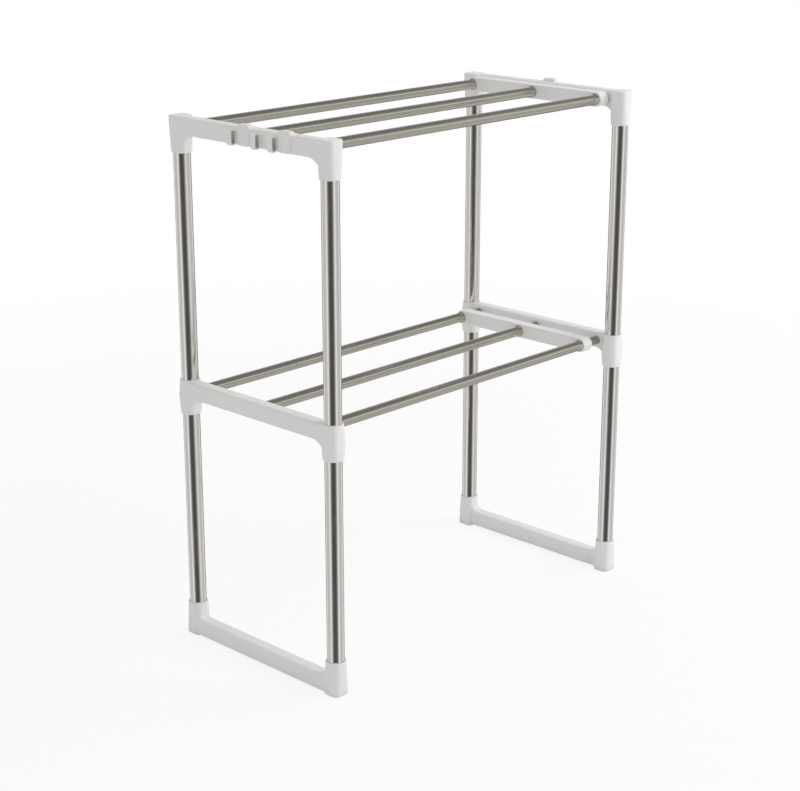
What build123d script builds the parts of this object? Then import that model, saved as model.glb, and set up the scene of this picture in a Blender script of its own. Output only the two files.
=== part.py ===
"""Expandable two-shelf rack that stands over a microwave oven.

Two end frames of white moulded brackets on polished steel legs carry three shelf tubes on each
of two levels. Each shelf tube is a thin tube inside a wider one, so the right end frame pulls
out along +X. Millimetres, +Z up, the front is -Y, and the origin is on the floor at the middle
of the pushed-together rack.
"""

import os
from math import radians, tan

from build123d import *

# Overall size of the pushed-together rack: over the corner posts, and up to the raised pads
rack_length = 495.0
rack_depth = 250.0
rack_height = 605.0
extension = 355.0

# Legs: plain steel tubes pushed into the posts
leg_diameter = 19.0
leg_wall = 0.8
leg_fit = 0.1
lower_leg_exposed = 229.0

# Posts: the sockets at the two ends of each bracket, narrowing towards the legs' mouths
post_width = 22.0
post_corner_radius = 5.0
post_draft = 0.6
post_edge_radius = 2.0
mouth_edge_radius = 0.5
corner_height = 40.0
collar_height = 39.5
foot_height = 39.5
corner_socket_depth = 36.0
collar_socket_depth = 18.0
foot_socket_depth = 34.0

# Beams: the bars between the posts, arched where they meet them and ribbed underneath
beam_width = 17.0
beam_height = 19.0
beam_inset = 0.6
beam_top_radius = 4.0
beam_under_radius = 2.0
arch_radius = 15.0
foot_arch_radius = 12.0
arch_reach = 7.0
arch_tail = 1.0
corner_beam_drop = 0.5
collar_beam_drop = 0.5
foot_beam_lift = 2.0
beam_wall = 2.4
beam_roof = 3.0
rib_thickness = 2.0
boss_wall = 2.5
pockets_per_bay = 3
ejector_diameter = 5.0
ejector_depth = 0.2

# Shelf tubes: outer tubes on the left frame, inner tubes on the right frame
row_inset = 19.0
outer_diameter = 12.0
outer_wall = 0.6
inner_diameter = 10.3
inner_wall = 0.6
tube_fit = 0.1
slide_fit = 0.08
end_clearance = 0.5
tube_socket_depth = 12.0

# Flared bead at the mouth of each outer tube, and the rolled stop bead on each inner tube
bead_diameter = 14.2
bead_length = 5.0
bead_lip = 1.2
stop_bead_length = 2.0

# Bridge bars: the white bars that tie the mouths of the outer tubes together
bar_height = 17.0
bar_thickness = 16.0
bar_socket_depth = 9.0
bar_wall = 3.0
bar_edge_radius = 2.0
top_bar_gap = 3.0
middle_bar_gap = 18.5

# Glide plugs in the hidden ends of the inner tubes
plug_head_length = 3.0
plug_shank_length = 12.0
plug_edge_radius = 0.8

# Raised pads on the outer edge of the top beams
pad_width = 18.5
pad_rise = 3.0
pad_proud = 1.5
pad_depth = 7.5
pad_corner_radius = 4.0
pad_edge_radius = 1.2
left_pad_places = [1.5, -60.0]
right_pad_places = [1.5]

# Hooks clipped into the outer face of the top beams
hook_places = [16.5, -20.0, -45.5]
hook_width = 7.0
hook_thickness = 1.9
hook_slot = 4.4
hook_sag = 0.5
hook_root_drop = 4.0
hook_tip_drop = 3.0
hook_edge_radius = 0.5
tongue_width = 4.0
tongue_height = 7.0
tongue_fit = 0.1

# Finger scallops along the lower inner edge of the foot beams
scallop_radius = 9.0
scallop_depth = 1.5
scallop_height = 13.0

# Places that follow from the sizes above
post_x = (rack_length - post_width) / 2
post_y = (rack_depth - post_width) / 2
beam_outer_x = rack_length / 2 - beam_inset
beam_inner_x = beam_outer_x - beam_width
beam_middle_x = (beam_outer_x + beam_inner_x) / 2

collar_bottom = foot_height + lower_leg_exposed
collar_middle = collar_bottom + collar_height / 2
collar_top = collar_bottom + collar_height
corner_top = rack_height - pad_rise
corner_bottom = corner_top - corner_height

corner_beam_top = corner_top - corner_beam_drop
corner_beam_low = corner_beam_top - beam_height
collar_beam_top = collar_top - collar_beam_drop
collar_beam_low = collar_beam_top - beam_height
foot_beam_top = foot_beam_lift + beam_height
top_shelf_z = corner_beam_top - beam_height / 2
middle_shelf_z = collar_beam_top - beam_height / 2

lower_leg_bottom = foot_height - foot_socket_depth
lower_leg_top = collar_bottom + collar_socket_depth
upper_leg_bottom = collar_top - collar_socket_depth
upper_leg_top = corner_bottom + corner_socket_depth

shelf_pitch = post_y - row_inset
tube_seat_x = beam_inner_x + tube_socket_depth
plug_x = -tube_seat_x + end_clearance
leg_bore = leg_diameter + 2 * leg_fit
outer_bore = outer_diameter - 2 * outer_wall
inner_bore = inner_diameter - 2 * inner_wall
outer_socket = outer_diameter + 2 * tube_fit
inner_socket = inner_diameter + 2 * tube_fit
guide_bore = inner_diameter + 2 * slide_fit
glide_diameter = outer_bore - 2 * slide_fit

levels = {"top": (top_shelf_z, top_bar_gap), "middle": (middle_shelf_z, middle_bar_gap)}
rows = {"front": -shelf_pitch, "centre": 0.0, "back": shelf_pitch}
leg_rows = {"front": -post_y, "back": post_y}
sides = {"left": -post_x, "right": post_x}
leg_levels = {"upper": (upper_leg_bottom, upper_leg_top), "lower": (lower_leg_bottom, lower_leg_top)}


def save(shape, name):
    """Name a finished sub-part and write its file."""
    shape.label = name
    export_step(shape, f"parts/{name}.step")


def row_plane(place, height):
    """A plane along a shelf tube: local x runs along +X and local y up, from the tube's axis."""
    return Plane(origin=(0, place, height), x_dir=(1, 0, 0), z_dir=(0, -1, 0))


def arched_beam(bracket, solid_z, window_z, radius):
    """The beam between solid_z and window_z, with an arch beyond window_z at both posts."""
    outward = 1 if window_z > solid_z else -1
    arch_end = window_z + outward * (radius + arch_tail)
    with BuildSketch(Plane.YZ.offset(-beam_outer_x)) as outline:
        with Locations((0, (solid_z + arch_end) / 2)):
            Rectangle(2 * post_y, abs(arch_end - solid_z))
        with Locations((0, (window_z + arch_end) / 2)):
            Rectangle(2 * (post_y - arch_reach), abs(arch_end - window_z), mode=Mode.SUBTRACT)
        fillet(outline.vertices().group_by(Axis.Y)[1], radius)
    extrude(outline.sketch, amount=beam_width)
    along = bracket.edges().filter_by(Axis.Y).group_by(Axis.Z)
    low_edges = along[0] if outward > 0 else along[-2]
    high_edges = along[1] if outward > 0 else along[-1]
    fillet(low_edges, beam_under_radius)
    fillet(high_edges, beam_top_radius)


def post_pair(wide_z, reaches, bottom_radius, top_radius):
    """Two posts, widest at wide_z and tapering over each reach from there (negative is down)."""
    with BuildPart() as pair:
        for place in leg_rows.values():
            for reach in reaches:
                shrink = abs(reach) * tan(radians(post_draft))
                mouth_width = post_width - 2 * shrink
                with BuildSketch(Plane.XY.offset(wide_z)) as wide_end:
                    with Locations((-post_x, place)):
                        RectangleRounded(post_width, post_width, post_corner_radius)
                with BuildSketch(Plane.XY.offset(wide_z + reach)) as mouth_end:
                    with Locations((-post_x, place)):
                        RectangleRounded(mouth_width, mouth_width, post_corner_radius - shrink)
                loft([wide_end.sketch.face(), mouth_end.sketch.face()], ruled=True)
        fillet(pair.faces().group_by(Axis.Z)[0].edges(), bottom_radius)
        fillet(pair.faces().group_by(Axis.Z)[-1].edges(), top_radius)
    return pair.part


def rib_pockets(low, bore):
    """Moulded pockets in the beam's underside, with ribs between them and bosses at the tubes."""
    boss_half = bore / 2 + boss_wall
    bay_length = shelf_pitch - 2 * boss_half
    pocket_length = (bay_length - (pockets_per_bay - 1) * rib_thickness) / pockets_per_bay
    with BuildSketch(Plane.XY.offset(low)) as pockets:
        with Locations((-beam_middle_x, shelf_pitch / 2), (-beam_middle_x, -shelf_pitch / 2)):
            with GridLocations(1, pocket_length + rib_thickness, 1, pockets_per_bay):
                Rectangle(beam_width - 2 * beam_wall, pocket_length)
    extrude(pockets.sketch, amount=beam_height - beam_roof, mode=Mode.SUBTRACT)
    with BuildSketch(Plane.XY.offset(low + beam_height - beam_roof)) as ejector_marks:
        with Locations((-beam_middle_x, shelf_pitch / 2), (-beam_middle_x, -shelf_pitch / 2)):
            with GridLocations(1, pocket_length + rib_thickness, 1, pockets_per_bay):
                Circle(ejector_diameter / 2)
    extrude(ejector_marks.sketch, amount=ejector_depth, mode=Mode.SUBTRACT)


def leg_sockets(mouth_z, depth):
    """Blind bores for the two legs, from the mouth inwards (negative is down)."""
    with BuildSketch(Plane.XY.offset(mouth_z)) as mouths:
        with Locations((-post_x, post_y), (-post_x, -post_y)):
            Circle(leg_bore / 2)
    extrude(mouths.sketch, amount=depth, mode=Mode.SUBTRACT)


def tube_sockets(axis_z, bore):
    """Blind bores for the three shelf tubes in the beam's inner face."""
    with BuildSketch(Plane.YZ.offset(-beam_inner_x)) as mouths:
        with Locations(*[(place, axis_z) for place in rows.values()]):
            Circle(bore / 2)
    extrude(mouths.sketch, amount=-tube_socket_depth, mode=Mode.SUBTRACT)


def top_bracket(bore, pad_places):
    """Left-hand top bracket: corner posts, arched beam, raised pads and slots for the hooks."""
    corner_posts = post_pair(corner_top, [-corner_height], mouth_edge_radius, post_edge_radius)
    with BuildPart() as bracket:
        arched_beam(bracket, corner_beam_top, corner_beam_low, arch_radius)
        add(corner_posts)
        with BuildSketch(Plane.YZ.offset(-beam_outer_x - pad_proud)):
            with Locations(*[(place, (corner_beam_low + rack_height) / 2) for place in pad_places]):
                RectangleRounded(pad_width, rack_height - corner_beam_low, pad_corner_radius)
        extrude(amount=pad_depth)
        fillet(bracket.faces().group_by(Axis.X)[0].edges(), pad_edge_radius)
        rib_pockets(corner_beam_low, bore)
        leg_sockets(corner_bottom, corner_socket_depth)
        tube_sockets(top_shelf_z, bore)
        with BuildSketch(Plane.YZ.offset(-beam_outer_x)):
            with Locations(*[(place, top_shelf_z) for place in hook_places]):
                Rectangle(tongue_width + 2 * tongue_fit, tongue_height + 2 * tongue_fit)
        extrude(amount=beam_wall, mode=Mode.SUBTRACT)
    return bracket.part


def middle_bracket(bore):
    """Left-hand middle bracket: collars open at both ends, and an arched beam."""
    reaches = [collar_height / 2, -collar_height / 2]
    collars = post_pair(collar_middle, reaches, mouth_edge_radius, mouth_edge_radius)
    with BuildPart() as bracket:
        arched_beam(bracket, collar_beam_top, collar_beam_low, arch_radius)
        add(collars)
        rib_pockets(collar_beam_low, bore)
        leg_sockets(collar_top, -collar_socket_depth)
        leg_sockets(collar_bottom, collar_socket_depth)
        tube_sockets(middle_shelf_z, bore)
    return bracket.part


def foot_bracket():
    """Left-hand foot bracket: two feet joined by a low beam with finger scallops."""
    feet = post_pair(0, [foot_height], post_edge_radius, mouth_edge_radius)
    with BuildPart() as bracket:
        arched_beam(bracket, foot_beam_lift, foot_beam_top, foot_arch_radius)
        add(feet)
        rib_pockets(foot_beam_lift, outer_socket)
        leg_sockets(foot_height, -foot_socket_depth)
        with BuildSketch(Plane.XY.offset(foot_beam_lift)):
            scallop_x = scallop_radius - scallop_depth - beam_inner_x
            with Locations(*[(scallop_x, place) for place in rows.values()]):
                Circle(scallop_radius)
        extrude(amount=scallop_height, mode=Mode.SUBTRACT)
    return bracket.part


def hook(place):
    """Left-hand hook: an upturned strip with a tongue that clips into the beam's slot."""
    strip_x = -beam_outer_x - hook_thickness / 2
    bend = (hook_slot + hook_thickness) / 2
    bend_z = corner_beam_low - hook_sag + hook_slot / 2 + hook_thickness
    with BuildPart() as piece:
        with BuildSketch(row_plane(place, 0)):
            with BuildLine():
                Line((strip_x, corner_beam_top - hook_root_drop), (strip_x, bend_z))
                ThreePointArc((strip_x, bend_z), (strip_x - bend, bend_z - bend), (strip_x - 2 * bend, bend_z))
                Line((strip_x - 2 * bend, bend_z), (strip_x - 2 * bend, corner_beam_top - hook_tip_drop))
            trace(line_width=hook_thickness)
        extrude(amount=hook_width / 2, both=True)
        outer_face = piece.faces().sort_by(Axis.X)[0]
        fillet(outer_face.edges().filter_by(Axis.Z), hook_edge_radius)
        with BuildSketch(Plane.YZ.offset(-beam_outer_x)):
            with Locations((place, top_shelf_z)):
                Rectangle(tongue_width, tongue_height)
        extrude(amount=beam_wall)
    return piece.part


os.makedirs("parts", exist_ok=True)

# Left-hand brackets take the outer tubes
save(top_bracket(outer_socket, left_pad_places), "top_bracket_left")
save(middle_bracket(outer_socket), "middle_bracket_left")
save(foot_bracket(), "foot_bracket_left")

# Right-hand brackets are the same mouldings turned round, bored for the inner tubes
save(top_bracket(inner_socket, right_pad_places).rotate(Axis.Z, 180), "top_bracket_right")
save(middle_bracket(inner_socket).rotate(Axis.Z, 180), "middle_bracket_right")
save(foot_bracket().rotate(Axis.Z, 180), "foot_bracket_right")

# Hooks, numbered from the back on the left frame and from the front on the right frame
for number, place in enumerate(hook_places, start=1):
    save(hook(place), f"hook_left_{number}")
    save(hook(place).rotate(Axis.Z, 180), f"hook_right_{number}")

# Legs
for side, leg_x in sides.items():
    for row, leg_y in leg_rows.items():
        for level, (leg_bottom, leg_top) in leg_levels.items():
            with BuildPart() as leg:
                with BuildSketch(Plane.XY.offset(leg_bottom)):
                    with Locations((leg_x, leg_y)):
                        Circle(leg_diameter / 2)
                        Circle(leg_diameter / 2 - leg_wall, mode=Mode.SUBTRACT)
                extrude(amount=leg_top - leg_bottom)
            save(leg.part, f"{level}_leg_{side}_{row}")

# Bridge bars, shelf tubes and glide plugs, level by level
for level, (shelf_z, bar_gap) in levels.items():
    bar_right = beam_inner_x - bar_gap
    bar_left = bar_right - bar_thickness
    tube_end = bar_left + bar_socket_depth
    stop_right = tube_end - extension - end_clearance
    inner_end = plug_x + plug_head_length

    with BuildPart() as bridge_bar:
        with BuildSketch(Plane.YZ.offset(bar_left)):
            with Locations((0, shelf_z)):
                SlotCenterToCenter(2 * shelf_pitch, bar_height)
        extrude(amount=bar_thickness)
        fillet(bridge_bar.faces().filter_by(Axis.X).edges(), bar_edge_radius)
        with BuildSketch(Plane.YZ.offset(bar_left)):
            with Locations(*[(place, shelf_z) for place in rows.values()]):
                Circle(outer_socket / 2)
        extrude(amount=bar_socket_depth, mode=Mode.SUBTRACT)
        with BuildSketch(Plane.YZ.offset(bar_left)):
            with Locations(*[(place, shelf_z) for place in rows.values()]):
                Circle(guide_bore / 2)
        extrude(amount=bar_thickness, mode=Mode.SUBTRACT)
        bay_length = shelf_pitch - outer_socket - 2 * boss_wall
        pocket_length = (bay_length - (pockets_per_bay - 1) * rib_thickness) / pockets_per_bay
        with BuildSketch(Plane.YZ.offset(bar_right)):
            with Locations((shelf_pitch / 2, shelf_z), (-shelf_pitch / 2, shelf_z)):
                with GridLocations(pocket_length + rib_thickness, 1, pockets_per_bay, 1):
                    Rectangle(pocket_length, bar_height - 2 * bar_wall)
        extrude(amount=beam_roof - bar_thickness, mode=Mode.SUBTRACT)
    save(bridge_bar.part, f"bridge_bar_{level}")

    for row, place in rows.items():
        tube_axis = Axis((0, place, shelf_z), (1, 0, 0))

        with BuildPart() as outer_tube:
            with BuildSketch(row_plane(place, shelf_z)):
                with BuildLine():
                    Polyline(
                        (-tube_seat_x, outer_bore / 2),
                        (-tube_seat_x, outer_diameter / 2),
                        (bar_left - bead_length, outer_diameter / 2),
                        (bar_left - bead_lip, bead_diameter / 2),
                        (bar_left, bead_diameter / 2),
                        (bar_left, outer_diameter / 2),
                        (tube_end, outer_diameter / 2),
                        (tube_end, outer_bore / 2),
                        close=True,
                    )
                make_face()
            revolve(axis=tube_axis)
        save(outer_tube.part, f"outer_tube_{level}_{row}")

        with BuildPart() as inner_tube:
            with BuildSketch(row_plane(place, shelf_z)):
                with BuildLine():
                    Polyline(
                        (inner_end, inner_bore / 2),
                        (inner_end, inner_diameter / 2),
                        (stop_right - stop_bead_length, inner_diameter / 2),
                        (stop_right - stop_bead_length, glide_diameter / 2),
                        (stop_right, glide_diameter / 2),
                        (stop_right, inner_diameter / 2),
                        (tube_seat_x, inner_diameter / 2),
                        (tube_seat_x, inner_bore / 2),
                        close=True,
                    )
                make_face()
            revolve(axis=tube_axis)
        save(inner_tube.part, f"inner_tube_{level}_{row}")

        with BuildPart() as glide_plug:
            with BuildSketch(row_plane(place, shelf_z)):
                with BuildLine():
                    Polyline(
                        (plug_x, 0),
                        (plug_x, glide_diameter / 2),
                        (inner_end, glide_diameter / 2),
                        (inner_end, inner_bore / 2 - tube_fit),
                        (inner_end + plug_shank_length, inner_bore / 2 - tube_fit),
                        (inner_end + plug_shank_length, 0),
                        close=True,
                    )
                make_face()
            revolve(axis=tube_axis)
            fillet(glide_plug.faces().sort_by(Axis.X)[0].edges(), plug_edge_radius)
        save(glide_plug.part, f"glide_plug_{level}_{row}")
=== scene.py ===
# %% [markdown]
# # An expandable rack that stands over a microwave oven
#
# The CAD model brings forty rigid pieces: white moulded brackets, polished steel legs, shelf tubes
# that telescope, the bridge bars that tie them together, and hooks. This lesson dresses them. Nearly
# all shapes come with the frame, and only the brackets' posts are made rounder here. So most of the
# work is light, reflections and finishes: polished tube is only as convincing as the room that it
# mirrors.

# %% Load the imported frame
import math

import bpy
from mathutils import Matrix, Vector


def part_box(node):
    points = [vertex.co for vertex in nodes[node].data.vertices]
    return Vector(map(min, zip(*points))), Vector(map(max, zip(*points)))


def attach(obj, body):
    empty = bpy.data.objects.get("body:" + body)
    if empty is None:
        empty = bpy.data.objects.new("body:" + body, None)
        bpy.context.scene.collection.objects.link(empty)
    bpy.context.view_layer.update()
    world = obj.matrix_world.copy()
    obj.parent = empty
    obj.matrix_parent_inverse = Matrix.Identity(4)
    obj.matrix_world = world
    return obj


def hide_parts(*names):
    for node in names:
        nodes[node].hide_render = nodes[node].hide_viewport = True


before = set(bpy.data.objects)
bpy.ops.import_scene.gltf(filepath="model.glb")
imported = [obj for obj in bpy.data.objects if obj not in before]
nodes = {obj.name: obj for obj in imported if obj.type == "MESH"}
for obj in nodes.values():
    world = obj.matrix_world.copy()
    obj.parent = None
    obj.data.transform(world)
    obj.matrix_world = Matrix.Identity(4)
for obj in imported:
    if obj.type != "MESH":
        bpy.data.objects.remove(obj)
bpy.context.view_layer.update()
MM = 0.001
print("pieces in the frame:", len(nodes))

# %% [markdown]
# ## The camera
#
# The camera comes first, because every later choice is judged through it. It was fitted to the
# corners of the rack: it stands to the front left, a little above the top shelf, and looks down
# along a diagonal, so both the left end frame and the long front show. A long lens from two metres
# away keeps the legs close to upright, as a catalogue picture would.

# %% Camera
CAMERA_PLACE = (-1.4493, -1.3688, 0.8920)
CAMERA_YAW = math.radians(46.291)
CAMERA_PITCH = math.radians(17.624)
CAMERA_LENS = 80.29
CAMERA_SENSOR = 36

bpy.ops.object.select_all(action="DESELECT")
bpy.ops.object.camera_add(
    location=CAMERA_PLACE,
    rotation=(math.pi / 2 - CAMERA_PITCH, 0, -CAMERA_YAW),
)
camera = bpy.context.object
camera.name = "photo_camera"
camera.data.sensor_width = CAMERA_SENSOR
camera.data.lens = CAMERA_LENS
bpy.context.scene.camera = camera
bpy.context.scene.view_settings.view_transform = "Standard"
print("camera at", CAMERA_PLACE)

# %% [markdown]
# ## Two helpers
#
# Colours are written as the sRGB hex values that a picture editor shows, and Blender works in linear
# light, so one function turns the first into the second. The other adds a node, sets its options and
# input values, joins its inputs to other nodes and, on a colour ramp, places the grey stops. Every
# material below is built with it, so a recipe reads from top to bottom.


# %% Helpers for colours and nodes
def linear(hex_code):
    """An sRGB hex colour as a linear RGBA value."""
    channels = [int(hex_code[i:i + 2], 16) / 255 for i in (1, 3, 5)]
    bent = [c / 12.92 if c <= 0.04045 else ((c + 0.055) / 1.055) ** 2.4 for c in channels]
    return (*bent, 1.0)


def node(tree, kind, options=None, values=None, links=None, stops=()):
    """Add a node, set its options, values and ramp stops, and link sockets into its inputs."""
    made = tree.nodes.new(kind)
    for name, value in (options or {}).items():
        setattr(made, name, value)
    for key, value in (values or {}).items():
        made.inputs[key].default_value = value
    for key, socket in (links or {}).items():
        tree.links.new(socket, made.inputs[key])
    for _ in stops[2:]:
        made.color_ramp.elements.new(0.5)
    for spot, (position, grey) in enumerate(stops):
        made.color_ramp.elements[spot].position = position
        made.color_ramp.elements[spot].color = (grey, grey, grey, 1.0)
    return made


print("white in linear light:", linear("#ffffff"))

# %% [markdown]
# ## The studio
#
# Polished tube has hardly any colour of its own: it shows the studio. In the photo each leg has a
# dark stripe down its middle, a bright band on either side and grey edges, so the legs must have
# faced a dark opening between bright walls. The shelf tubes are palest along their middle and darkest
# on their upper side, so the ceiling was dim. A picture of a studio wrapped round the world would
# give that too, but a few ramps over the direction of a ray are enough and stay easy to change. Only
# mirror-like rays see this room. Camera rays see plain white, and all other rays get an even, soft
# light that is a little stronger from above.

# %% World: which way does a ray go?
world = bpy.data.worlds.new("studio")
bpy.context.scene.world = world
world.use_nodes = True
tree = world.node_tree
tree.nodes.clear()

direction = node(tree, "ShaderNodeTexCoord").outputs["Generated"]
split = node(tree, "ShaderNodeSeparateXYZ", links={"Vector": direction})
height = node(
    tree, "ShaderNodeMapRange",
    values={"From Min": -1.0, "From Max": 1.0}, links={"Value": split.outputs["Z"]},
)
flat = node(
    tree, "ShaderNodeVectorMath", {"operation": "MULTIPLY"}, {1: (1, 1, 0)}, {0: direction},
)
level = node(tree, "ShaderNodeVectorMath", {"operation": "NORMALIZE"}, links={0: flat.outputs[0]})
opening_axis = (math.sin(CAMERA_YAW), math.cos(CAMERA_YAW), 0)
along = node(
    tree, "ShaderNodeVectorMath", {"operation": "DOT_PRODUCT"},
    {1: opening_axis}, {0: level.outputs[0]},
)
towards_opening = node(
    tree, "ShaderNodeMath", {"operation": "ABSOLUTE"}, links={0: along.outputs["Value"]},
)
print("openings face", [round(part, 2) for part in opening_axis])

# %% [markdown]
# The room itself: a pale floor and a ceiling that dims upwards, with a lamp overhead. From the floor
# to a little above the height of the eye runs a band of wall. It is bright, and it has two dark
# openings opposite each other, so the rack looks like polished metal from the front and from behind.
# A bright strip runs above the band, and the shelf tubes show it as the pale line along their middle.

# %% World: the room that polished metal mirrors
FLOOR_TO_CEILING = [
    (0.00, 0.60), (0.45, 0.66), (0.57, 0.94), (0.65, 0.92), (0.70, 0.60), (0.75, 0.40),
    (0.80, 0.32), (0.855, 0.22), (0.93, 0.34), (1.00, 0.60),
]
AROUND_THE_WALLS = [
    (0.00, 0.70), (0.08, 0.58), (0.35, 0.64), (0.56, 1.00), (0.70, 0.84), (0.84, 0.30), (0.94, 0.10),
    (1.00, 0.08),
]
WALL_BAND = [(0.16, 0.0), (0.23, 1.0), (0.53, 1.0), (0.58, 0.0)]

plain = node(
    tree, "ShaderNodeValToRGB", links={"Fac": height.outputs["Result"]}, stops=FLOOR_TO_CEILING,
)
walls = node(
    tree, "ShaderNodeValToRGB", links={"Fac": towards_opening.outputs[0]}, stops=AROUND_THE_WALLS,
)
band = node(tree, "ShaderNodeValToRGB", links={"Fac": height.outputs["Result"]}, stops=WALL_BAND)
room = node(
    tree, "ShaderNodeMix", {"data_type": "RGBA"},
    links={"Factor": band.outputs["Color"], "A": plain.outputs["Color"], "B": walls.outputs["Color"]},
)
print("room stops:", len(FLOOR_TO_CEILING) + len(AROUND_THE_WALLS) + len(WALL_BAND))

# %% [markdown]
# The last step sorts the rays. Light Path tells a mirror ray from a camera ray and from the soft
# light that everything else receives.

# %% World: who sees what
AMBIENT_LOW = -0.2
AMBIENT_HIGH = 0.9
AMBIENT_SIDE = 0.57
AMBIENT_TOP = 0.72

ambient = node(
    tree, "ShaderNodeMapRange",
    values={
        "From Min": AMBIENT_LOW, "From Max": AMBIENT_HIGH,
        "To Min": AMBIENT_SIDE, "To Max": AMBIENT_TOP,
    },
    links={"Value": split.outputs["Z"]},
)
path = node(tree, "ShaderNodeLightPath")
mirror_ray = node(
    tree, "ShaderNodeMath", {"operation": "MAXIMUM"},
    links={0: path.outputs["Is Glossy Ray"], 1: path.outputs["Is Transmission Ray"]},
)
lit = node(
    tree, "ShaderNodeMix", {"data_type": "RGBA"},
    links={"Factor": mirror_ray.outputs[0], "A": ambient.outputs["Result"], "B": room.outputs["Result"]},
)
seen = node(
    tree, "ShaderNodeMix", {"data_type": "RGBA"}, {"B": linear("#ffffff")},
    {"Factor": path.outputs["Is Camera Ray"], "A": lit.outputs["Result"]},
)
background = node(tree, "ShaderNodeBackground", links={"Color": seen.outputs["Result"]})
node(tree, "ShaderNodeOutputWorld", links={"Surface": background.outputs[0]})
print("world nodes:", len(tree.nodes))

# %% [markdown]
# ## The lamp
#
# One large soft lamp stands to the front right, about as far off as in a small photo studio. It makes
# the front faces of the mouldings lighter than the end faces, and because it is near, the right end
# of the rack gets more of it than the left, and the top more than the feet, as in the photo. Mirror
# rays don't see it, or it would draw a hot square on every tube.

# %% Lamp
LAMP_PLACE = (1.5, -1.3, 1.5)
LAMP_AIM = (0.0, 0.0, 0.3)
LAMP_SIZE = 1.6
LAMP_WATTS = 26

bpy.ops.object.light_add(type="AREA", location=LAMP_PLACE)
lamp = bpy.context.object
lamp.name = "soft_lamp"
lamp.data.size = LAMP_SIZE
lamp.data.energy = LAMP_WATTS
lamp.visible_glossy = False
beam = Vector(LAMP_AIM) - Vector(LAMP_PLACE)
lamp.rotation_euler = beam.to_track_quat("-Z", "Y").to_euler()
print("lamp:", LAMP_WATTS, "W,", round(beam.length, 2), "m away")

# %% [markdown]
# ## The floor
#
# The floor is a plain pale sheet of paper. Part of what the camera sees of it is its own light, which
# brings it up to the white of the background, and the rest is lit, so the rack keeps a soft shadow.
# Away from the rack the share of its own light grows until no edge is left between floor and
# background.

# %% Floor
FLOOR_WIDTH = 60.0
FLOOR_GLOW = 0.84
SHADOW_REACH = 0.55
FLOOR_FADE = 1.9

bpy.ops.mesh.primitive_plane_add(size=FLOOR_WIDTH, location=(0, 0, 0))
floor = bpy.context.object
floor.name = "floor"
floor.visible_glossy = False

paper = bpy.data.materials.new("white_studio_paper")
paper.use_nodes = True
tree = paper.node_tree
tree.nodes.clear()
lit_paper = node(tree, "ShaderNodeBsdfDiffuse", values={"Color": linear("#f4f4f3")})
glow = node(tree, "ShaderNodeEmission", values={"Color": linear("#ffffff"), "Strength": 1.0})
path = node(tree, "ShaderNodeLightPath")
spot = node(tree, "ShaderNodeTexCoord").outputs["Object"]
distance = node(tree, "ShaderNodeVectorMath", {"operation": "LENGTH"}, links={0: spot})
fade = node(
    tree, "ShaderNodeMapRange", {"interpolation_type": "SMOOTHSTEP"},
    {"From Min": SHADOW_REACH, "From Max": FLOOR_FADE, "To Min": FLOOR_GLOW, "To Max": 1.0},
    {"Value": distance.outputs["Value"]},
)
share = node(
    tree, "ShaderNodeMath", {"operation": "MULTIPLY"},
    links={0: path.outputs["Is Camera Ray"], 1: fade.outputs["Result"]},
)
blend = node(
    tree, "ShaderNodeMixShader",
    links={0: share.outputs[0], 1: lit_paper.outputs[0], 2: glow.outputs[0]},
)
node(tree, "ShaderNodeOutputMaterial", links={"Surface": blend.outputs[0]})
floor.data.materials.append(paper)
print("floor:", FLOOR_WIDTH, "m across")

# %% [markdown]
# ## White moulded polypropylene
#
# The brackets, bridge bars and hooks are injection mouldings. The steel mould was spark-eroded, which
# leaves a satin face with a very fine grain. Where the melt flowed and cooled unevenly the white is a
# little cloudy, handling has left a few dull scuffs, and some dust keeps to the lowest edge of the
# feet. The slots of the hooks are deep and narrow, and the shade inside them is painted into the
# colour as a darker grey. A plain white shader would look like paper, so each of these is a layer of
# its own: two noises for cloud and grain, a stretched one for the scuffs, a fade with height for the
# dust, and the slots' own place for the painted shade. The real grain is under 0.1 mm, too fine to
# show, so it is drawn at about a millimetre. The hidden nylon glide plugs are moulded in the same way,
# so the same recipe serves them in another colour.


# %% Moulded plastic
FLOW_CLOUD = 45 * MM
MOULD_GRAIN = 0.9 * MM
GRAIN_DEPTH = 0.05 * MM
GRAIN_RELIEF = 0.12
GRAIN_GLOSS = 0.05
GRAIN_DULLING = 0.06
SCUFF_LENGTH = 18 * MM
SCUFF_WIDTH = 1.2 * MM
SCUFF_FROM = 0.6
SCUFF_FULL = 0.72
SCUFF_DULLING = 0.16
DUST_HEIGHT = 9 * MM
DUST_SHARE = 0.6
SLOT_PLACE = 251.1 * MM
SLOT_REACH = 2.4 * MM
SLOT_HEIGHT = 590.2 * MM
SLOT_DEPTH = 6.4 * MM
PLASTIC_IOR = 1.49


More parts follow.
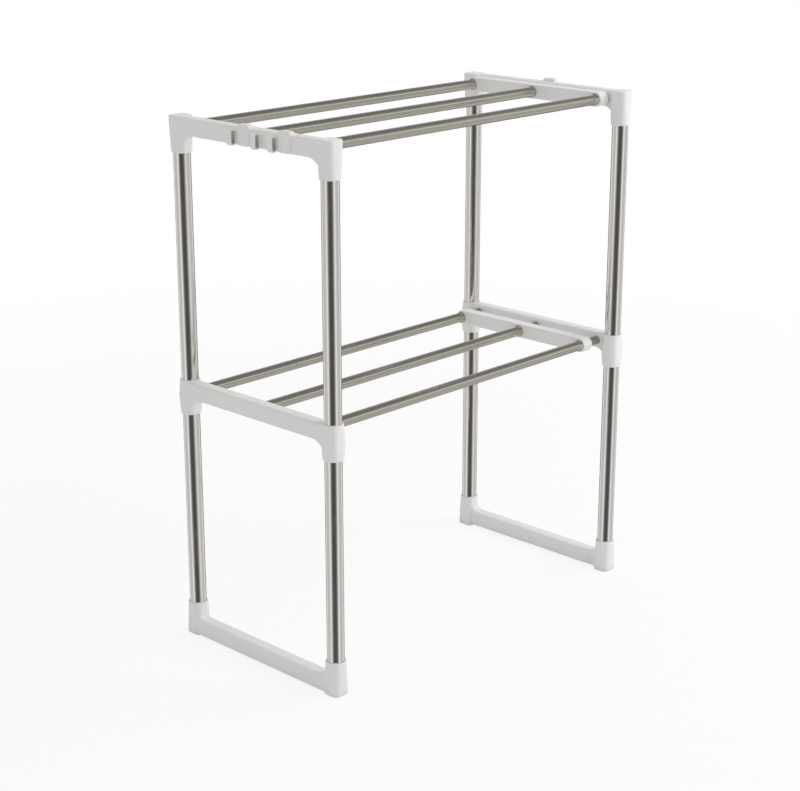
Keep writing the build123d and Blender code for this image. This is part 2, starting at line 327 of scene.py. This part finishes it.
def moulded_plastic(name, colours, roughness):
    """Injection-moulded plastic: satin, faintly cloudy, a little scuffed, dusty at the foot, with painted
    shade in the hooks' slots.
    """
    made = bpy.data.materials.new(name)
    made.use_nodes = True
    tree = made.node_tree
    tree.nodes.clear()
    place = node(tree, "ShaderNodeTexCoord").outputs["Object"]
    # The last of the four tones is the painted shade for the hooks' slots
    clear_tone, cloud_tone, dust_tone, slot_shade_tone = map(linear, colours)

    # Flow clouds shift the colour by a shade
    cloud = node(
        tree, "ShaderNodeTexNoise",
        values={"Scale": 1 / FLOW_CLOUD, "Detail": 2.0}, links={"Vector": place},
    )
    tint = node(
        tree, "ShaderNodeMix", {"data_type": "RGBA"},
        {"A": clear_tone, "B": cloud_tone}, {"Factor": cloud.outputs["Fac"]},
    )

    # Dust keeps to the lowest few millimetres, in patches
    low = node(tree, "ShaderNodeSeparateXYZ", links={"Vector": place})
    near_floor = node(
        tree, "ShaderNodeMapRange",
        values={"From Min": 0.0, "From Max": DUST_HEIGHT, "To Min": DUST_SHARE, "To Max": 0.0},
        links={"Value": low.outputs["Z"]},
    )
    dust = node(
        tree, "ShaderNodeMath", {"operation": "MULTIPLY"},
        links={0: near_floor.outputs["Result"], 1: cloud.outputs["Fac"]},
    )
    dusty = node(
        tree, "ShaderNodeMix", {"data_type": "RGBA"}, {"B": dust_tone},
        {"Factor": dust.outputs[0], "A": tint.outputs["Result"]},
    )

    # Painted shade darkens the slots of the hooks, which lie equally far out at both ends
    outwards = node(tree, "ShaderNodeMath", {"operation": "ABSOLUTE"}, links={0: low.outputs["X"]})
    in_slot = node(
        tree, "ShaderNodeMath", {"operation": "COMPARE"}, {1: SLOT_PLACE, 2: SLOT_REACH},
        {0: outwards.outputs[0]},
    )
    deep = node(
        tree, "ShaderNodeMath", {"operation": "COMPARE"}, {1: SLOT_HEIGHT, 2: SLOT_DEPTH},
        {0: low.outputs["Z"]},
    )
    painted_slot_shade = node(
        tree, "ShaderNodeMath", {"operation": "MULTIPLY"},
        links={0: in_slot.outputs[0], 1: deep.outputs[0]},
    )
    dusty_and_shaded = node(
        tree, "ShaderNodeMix", {"data_type": "RGBA"}, {"B": slot_shade_tone},
        {"Factor": painted_slot_shade.outputs[0], "A": dusty.outputs["Result"]},
    )

    # Grain and scuffs break up the sheen
    grain = node(
        tree, "ShaderNodeTexNoise",
        values={"Scale": 1 / MOULD_GRAIN, "Detail": 3.0}, links={"Vector": place},
    )
    rubbed = node(
        tree, "ShaderNodeMapping",
        values={"Scale": (1 / SCUFF_LENGTH, 1 / SCUFF_LENGTH, 1 / SCUFF_WIDTH)}, links={"Vector": place},
    )
    scuff_noise = node(
        tree, "ShaderNodeTexNoise", values={"Scale": 1.0, "Detail": 1.0},
        links={"Vector": rubbed.outputs["Vector"]},
    )
    scuff = node(
        tree, "ShaderNodeMapRange",
        values={"From Min": SCUFF_FROM, "From Max": SCUFF_FULL, "To Max": SCUFF_DULLING},
        links={"Value": scuff_noise.outputs["Fac"]},
    )
    sheen = node(
        tree, "ShaderNodeMapRange",
        values={"To Min": roughness - GRAIN_GLOSS, "To Max": roughness + GRAIN_DULLING},
        links={"Value": grain.outputs["Fac"]},
    )
    rough = node(
        tree, "ShaderNodeMath", {"operation": "ADD"},
        links={0: sheen.outputs["Result"], 1: scuff.outputs["Result"]},
    )
    bump = node(
        tree, "ShaderNodeBump", values={"Strength": GRAIN_RELIEF, "Distance": GRAIN_DEPTH},
        links={"Height": grain.outputs["Fac"]},
    )
    shader = node(
        tree, "ShaderNodeBsdfPrincipled", values={"IOR": PLASTIC_IOR},
        links={
            "Base Color": dusty_and_shaded.outputs["Result"],
            "Roughness": rough.outputs[0],
            "Normal": bump.outputs["Normal"],
        },
    )
    node(tree, "ShaderNodeOutputMaterial", links={"Surface": shader.outputs[0]})
    return made


# Painted shade: the grey that darkens the hooks' slots, last in each set of tones
SLOT_SHADE = "#bbb8b4"
WHITES = ("#efeeed", "#ebeae8", "#d3cfc8", SLOT_SHADE)
NATURAL = ("#dfd9c8", "#d6cfbd", "#c4bda9", SLOT_SHADE)
white_moulding = moulded_plastic("white_moulded_polypropylene", WHITES, 0.42)
plug_nylon = moulded_plastic("natural_moulded_nylon", NATURAL, 0.5)
print("plastics:", white_moulding.name, plug_nylon.name)

# %% [markdown]
# ## Polished steel tube
#
# Legs and shelf tubes are drawn steel tube. Polishing belts leave faint lines along the length, which
# stretch every reflection a little, and fingers leave dull patches on the shine. The legs are plated
# and bright. The outer shelf tubes are bare stainless steel, which is greyer and warmer. The inner
# tubes slide, so they are duller and more deeply lined. All three are the same recipe: a noise that
# is stretched along the tube for the lines, and a soft cloud for the finger marks. The lines of a real
# belt are a few hundredths of a millimetre wide, and are drawn wider so that they show.


# %% Polished steel
LINE_WIDTH = 0.7 * MM
LINE_LENGTH = 60 * MM
LINE_DEPTH = 0.004 * MM
LINE_RELIEF = 0.3
FINGER_MARK = 24 * MM
MARK_FROM = 0.52
MARK_FULL = 0.72
MARK_DULLING = 0.08
ALONG_X = (1 / LINE_LENGTH, 1 / LINE_WIDTH, 1 / LINE_WIDTH)
ALONG_Z = (1 / LINE_WIDTH, 1 / LINE_WIDTH, 1 / LINE_LENGTH)


def polished_steel(name, colours, roughness, line_contrast, line_scale):
    """Drawn steel tube, belt-polished along its length: a mirror with fine lines and finger marks."""
    made = bpy.data.materials.new(name)
    made.use_nodes = True
    tree = made.node_tree
    tree.nodes.clear()
    place = node(tree, "ShaderNodeTexCoord").outputs["Object"]
    pale_tone, line_tone = map(linear, colours)

    # Belt lines: colour, sheen and a trace of relief
    stretched = node(tree, "ShaderNodeMapping", values={"Scale": line_scale}, links={"Vector": place})
    line = node(
        tree, "ShaderNodeTexNoise", values={"Scale": 1.0, "Detail": 2.0},
        links={"Vector": stretched.outputs["Vector"]},
    )
    tint = node(
        tree, "ShaderNodeMix", {"data_type": "RGBA"},
        {"A": pale_tone, "B": line_tone}, {"Factor": line.outputs["Fac"]},
    )
    lined = node(
        tree, "ShaderNodeMapRange",
        values={"To Min": roughness - line_contrast, "To Max": roughness + line_contrast},
        links={"Value": line.outputs["Fac"]},
    )
    bump = node(
        tree, "ShaderNodeBump", values={"Strength": LINE_RELIEF, "Distance": LINE_DEPTH},
        links={"Height": line.outputs["Fac"]},
    )

    # Finger marks dull the shine in patches
    handled = node(
        tree, "ShaderNodeTexNoise",
        values={"Scale": 1 / FINGER_MARK, "Detail": 3.0}, links={"Vector": place},
    )
    mark = node(
        tree, "ShaderNodeMapRange",
        values={"From Min": MARK_FROM, "From Max": MARK_FULL, "To Max": MARK_DULLING},
        links={"Value": handled.outputs["Fac"]},
    )
    rough = node(
        tree, "ShaderNodeMath", {"operation": "ADD"},
        links={0: lined.outputs["Result"], 1: mark.outputs["Result"]},
    )
    shader = node(
        tree, "ShaderNodeBsdfPrincipled", values={"Metallic": 1.0},
        links={
            "Base Color": tint.outputs["Result"],
            "Roughness": rough.outputs[0],
            "Normal": bump.outputs["Normal"],
        },
    )
    node(tree, "ShaderNodeOutputMaterial", links={"Surface": shader.outputs[0]})
    return made


PLATED = ("#ebe8e4", "#dfdcd7")
STAINLESS = ("#c6c2b8", "#bbb7ad")
WORN = ("#b9b5ad", "#a9a59d")
leg_steel = polished_steel("plated_polished_leg_tube", PLATED, 0.15, 0.05, ALONG_Z)
shelf_steel = polished_steel("polished_stainless_shelf_tube", STAINLESS, 0.18, 0.06, ALONG_X)
slide_steel = polished_steel("worn_stainless_slide_tube", WORN, 0.28, 0.09, ALONG_X)
print("steels:", leg_steel.name, shelf_steel.name, slide_steel.name)

# %% [markdown]
# ## Rounder posts
#
# At each corner the brackets have a post that the legs are pushed into. In the CAD model a post is a
# square with rounded corners. On the real rack it turns nearly round towards its mouths, where only a
# thin wall is left round the leg. The posts could be modelled anew, but every other detail of the
# brackets is right. So each bracket is copied, the copy is cut into narrow faces all round its posts,
# and the points of a post are drawn in towards its axis, to the outline that a rounder post would
# have. The bore stays as it is, and the pull fades out along the beam.


# %% Outline of a post
# The post of the CAD model: half its width, its corners, how it tapers, and its bore
POST_HALF = 11 * MM
POST_CORNER = 5 * MM
POST_TAPER = math.tan(math.radians(0.6))
BORE_RADIUS = 9.6 * MM
# The rounder post: its corners where it is widest, and half its width and its corners at a mouth
WIDE_CORNER = 6.5 * MM
MOUTH_HALF = 10.55 * MM
MOUTH_CORNER = 9 * MM
# How far along the beam the pull fades out
PULL_FADE = 6 * MM


def outline(angle, half, corner):
    """How far the outline of a rounded square lies from its middle, in one direction."""
    across = max(abs(math.cos(angle)), abs(math.sin(angle)))
    along = min(abs(math.cos(angle)), abs(math.sin(angle)))
    middle = half - corner
    if along * half <= across * middle:
        return half / across
    reach = middle * (across + along)
    return reach + math.sqrt(reach ** 2 - 2 * middle ** 2 + corner ** 2)


def drawn_in(distance, angle, drop, height):
    """New distance from the axis for a point of a post that lies drop above or below its widest place."""
    before = outline(angle, POST_HALF - drop * POST_TAPER, POST_CORNER - drop * POST_TAPER)
    share = min(drop / height, 1.0)
    half = POST_HALF + share * (MOUTH_HALF - POST_HALF)
    after = outline(angle, half, WIDE_CORNER + share * (MOUTH_CORNER - WIDE_CORNER))
    if distance <= BORE_RADIUS:
        return distance
    if distance <= before:
        thinner = (after - BORE_RADIUS) / (before - BORE_RADIUS)
        return BORE_RADIUS + (distance - BORE_RADIUS) * thinner
    fade = max(0.0, 1 - (distance - before) / PULL_FADE)
    return distance - (before - after) * fade ** 2


mouth_reach = outline(math.pi / 4, MOUTH_HALF, MOUTH_CORNER)
print("corner of a post at the mouth:", round(mouth_reach / MM, 2), "mm")

# %% [markdown]
# A copy of a CAD piece is merged first, because its mesh is loose triangles. The cuts are made with
# Bisect: planes through the axis of each post, like the slices of a cake, and a few level ones. The
# posts stand round the legs, so the axes are read from the legs' boxes.

# %% Copy a bracket and cut it round its posts
SLICES = 24
LEVELS = 5
MERGE_SNAP = 0.001 * MM
CUT_SNAP = 0.02 * MM
LEG_ROWS = ("front", "back")


def copied_bracket(kind, side):
    """A merged copy of a bracket's node, without the marks that the frame keeps on the node."""
    source = nodes[f"{kind}_{side}"]
    bpy.ops.object.select_all(action="DESELECT")
    bpy.context.view_layer.objects.active = source
    source.select_set(True)
    bpy.ops.object.duplicate()
    piece = bpy.context.object
    piece.name = f"{kind}_{side}_rounded"
    for key in list(piece.keys()):
        del piece[key]
    bpy.ops.mesh.customdata_custom_splitnormals_clear()
    bpy.ops.object.mode_set(mode="EDIT")
    bpy.ops.mesh.select_all(action="SELECT")
    bpy.ops.mesh.remove_doubles(threshold=MERGE_SNAP)
    bpy.ops.object.mode_set(mode="OBJECT")
    return piece


def cut_active_piece(place, normal):
    """Cut all faces of the piece in edit mode along a plane, and keep both sides."""
    bpy.ops.mesh.select_all(action="SELECT")
    bpy.ops.mesh.bisect(plane_co=place, plane_no=normal, threshold=CUT_SNAP)


def cut_round_posts(kind, side, axes):
    """Cut the active bracket in slices round each axis, and level in a few places."""
    bpy.ops.object.mode_set(mode="EDIT")
    for axis in axes:
        for slice_number in range(SLICES):
            turn = math.pi * slice_number / SLICES
            cut_active_piece(axis, (math.cos(turn), math.sin(turn), 0))
    low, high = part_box(f"{kind}_{side}")
    for level_number in range(1, LEVELS):
        level = low.z + (high.z - low.z) * level_number / LEVELS
        cut_active_piece((0, 0, level), (0, 0, 1))
    bpy.ops.object.mode_set(mode="OBJECT")


print("cuts for each bracket:", SLICES * len(LEG_ROWS) + LEVELS - 1)

# %% [markdown]
# Each point then belongs to the nearer of the two posts and moves straight towards its axis. The
# mouths of a post lie where the legs go in: below on the top bracket, above on the foot, and at both
# ends of the middle bracket's collars, which are widest halfway. At the end the normals are weighted
# by area, so the flat sides stay flat to the eye, and each copy takes the place of its node.

# %% Round the posts of each bracket
SOFT_ANGLE = math.radians(35)
WIDEST = {"top_bracket": 602 * MM, "middle_bracket": 288.25 * MM, "foot_bracket": 0.0}
POST_HEIGHT = {"top_bracket": 40 * MM, "middle_bracket": 19.75 * MM, "foot_bracket": 39.5 * MM}


def round_posts(kind, side):
    """Copy a bracket and draw its posts in to a rounder outline."""
    piece = copied_bracket(kind, side)
    legs = [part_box(f"upper_leg_{side}_{row}") for row in LEG_ROWS]
    axes = [(low + high) / 2 for low, high in legs]
    cut_round_posts(kind, side, axes)
    for point in piece.data.vertices:
        axis = min(axes, key=lambda spot: (spot.xy - point.co.xy).length)
        arm = point.co.xy - axis.xy
        angle = math.atan2(arm.y, arm.x)
        drop = abs(point.co.z - WIDEST[kind])
        if arm.length > 0:
            arm *= drawn_in(arm.length, angle, drop, POST_HEIGHT[kind]) / arm.length
        point.co.xy = axis.xy + arm
    bpy.ops.object.shade_smooth_by_angle(angle=SOFT_ANGLE)
    weighted = piece.modifiers.new("flat_sides", "WEIGHTED_NORMAL")
    weighted.keep_sharp = True
    bpy.ops.object.modifier_apply(modifier=weighted.name)
    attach(piece, f"{side}_frame")
    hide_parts(f"{kind}_{side}")
    return piece


rounded = [round_posts(kind, side) for kind in WIDEST for side in ("left", "right")]
for piece in rounded:
    print(piece.name, len(piece.data.polygons), "faces")

# %% [markdown]
# ## Dressing the frame
#
# Every piece, from the CAD model or copied from it, gets one finish, found by a word in its name. The
# meshes already have their rounded edges, so nothing more is done to them.

# %% Dress the frame
FINISHES = {
    "leg": leg_steel,
    "outer_tube": shelf_steel,
    "inner_tube": slide_steel,
    "glide_plug": plug_nylon,
    "bracket": white_moulding,
    "bridge_bar": white_moulding,
    "hook": white_moulding,
}

dressed = 0
for piece in [*nodes.values(), *rounded]:
    for word, finish in FINISHES.items():
        if word in piece.name:
            piece.data.materials.clear()
            piece.data.materials.append(finish)
            dressed += 1
print("dressed:", dressed, "of", len(nodes) + len(rounded))
